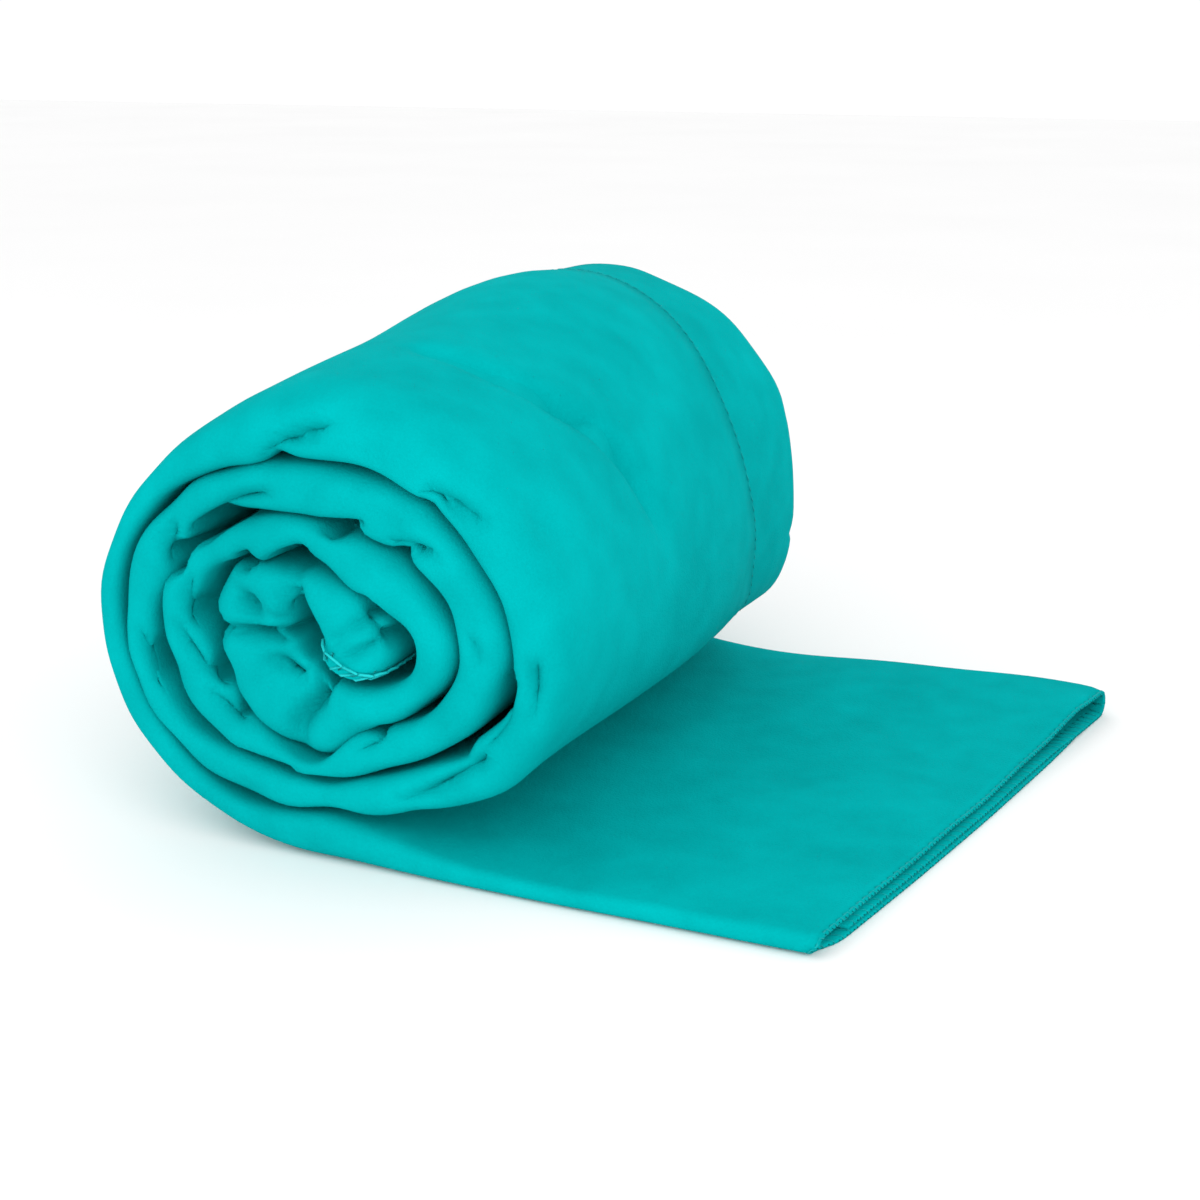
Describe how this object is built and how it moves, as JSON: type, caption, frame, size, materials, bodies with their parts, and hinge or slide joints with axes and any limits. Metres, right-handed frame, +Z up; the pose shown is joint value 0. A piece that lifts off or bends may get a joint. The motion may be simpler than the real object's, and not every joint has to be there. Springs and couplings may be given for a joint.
{
  "type": "quick dry towel",
  "caption": "Microfibre towel folded lengthwise in three and rolled up loosely, its free end lying flat, with a snap-closed hanging loop at the back.",
  "frame": {"origin": "on the floor under the roll's axis, halfway along the roll", "axes": "+X from the roll towards the end of the free end, Y along the roll's axis with the pictured spiral end at -Y, +Z up"},
  "size_m": [0.207, 0.1913, 0.1108],
  "materials": {
    "towel_cloth": "brushed microfibre suede",
    "overlock_thread": "soft polyester thread",
    "loop_webbing": "fine woven webbing",
    "snap_metal": "satin nickel"
  },
  "bodies": {
    "roll": {"rolled_cloth": "towel_cloth", "front_flap_overlock_rolled": "overlock_thread", "back_flap_overlock_rolled": "overlock_thread", "inner_end_overlock": "overlock_thread", "loop_root_strap": "loop_webbing", "loop_bartacks": "overlock_thread"},
    "tail": {"tail_cloth": "towel_cloth", "front_flap_overlock_flat": "overlock_thread", "back_flap_overlock_flat": "overlock_thread", "outer_end_overlock": "overlock_thread"},
    "hang_loop": {"loop_inner_leg": "loop_webbing", "snap_back_plate": "snap_metal", "snap_stud": "snap_metal"},
    "loop_flap": {"loop_outer_leg": "loop_webbing", "snap_socket": "snap_metal", "snap_cap": "snap_metal"}
  },
  "joints": [
    {"name": "tail_lift", "type": "hinge", "parent": "roll", "child": "tail", "pos_m": [0.042, 0, 0.0056], "axis": [0, -1, 0], "range_deg": [0, 50]},
    {"name": "loop_swing", "type": "hinge", "parent": "roll", "child": "hang_loop", "pos_m": [0.0029, 0.0937, 0.05495], "axis": [1, 0, 0], "range_deg": [0, 90]},
    {"name": "loop_open", "type": "hinge", "parent": "hang_loop", "child": "loop_flap", "pos_m": [0.0029, 0.1013, 0.0313], "axis": [-1, 0, 0], "range_deg": [0, 150]}
  ]
}
